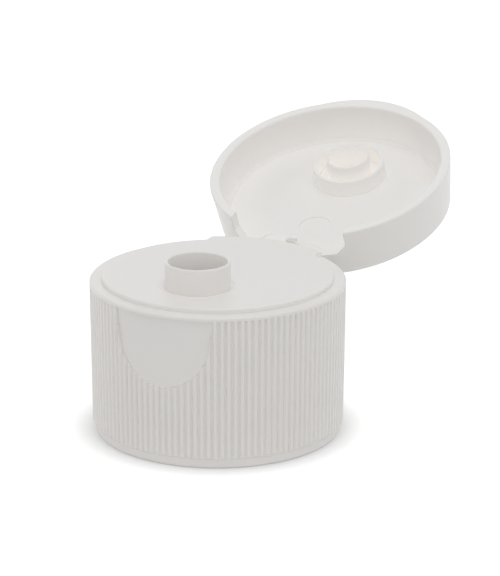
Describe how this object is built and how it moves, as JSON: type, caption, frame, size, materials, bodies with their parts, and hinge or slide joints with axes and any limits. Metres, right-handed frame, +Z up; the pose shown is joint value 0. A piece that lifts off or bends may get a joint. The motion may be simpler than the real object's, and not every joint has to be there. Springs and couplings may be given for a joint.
{
  "type": "flip top cap",
  "caption": "Ribbed screw closure for a 24 mm bottle neck with a dispensing spout and a hinged flip lid whose plug closes it.",
  "frame": {"origin": "on the closure's axis, in the plane of its foot, at the mouth of the neck bore", "axes": "+Z up along the closure's axis, out of the spout; the thumb recess faces -Y and the hinge is at +Y"},
  "size_m": [0.0286, 0.0584, 0.0274],
  "materials": {
    "closure_plastic": "satin off-white polypropylene",
    "lid_plastic": "satin off-white polypropylene",
    "hinge_plastic": "satin off-white polypropylene, thin and slightly clearer"
  },
  "bodies": {
    "closure": {"closure_body": "closure_plastic", "living_hinge": "hinge_plastic"},
    "flip_lid": {"lid": "lid_plastic"}
  },
  "joints": [
    {"name": "lid_hinge", "type": "hinge", "parent": "closure", "child": "flip_lid", "pos_m": [0, 0.01512, 0.01758], "axis": [-1, 0, 0], "range_deg": [-161, 19], "stiffness_Nm_per_rad": 0.01, "springref_deg": -1.12, "deforming": ["living_hinge"]}
  ]
}
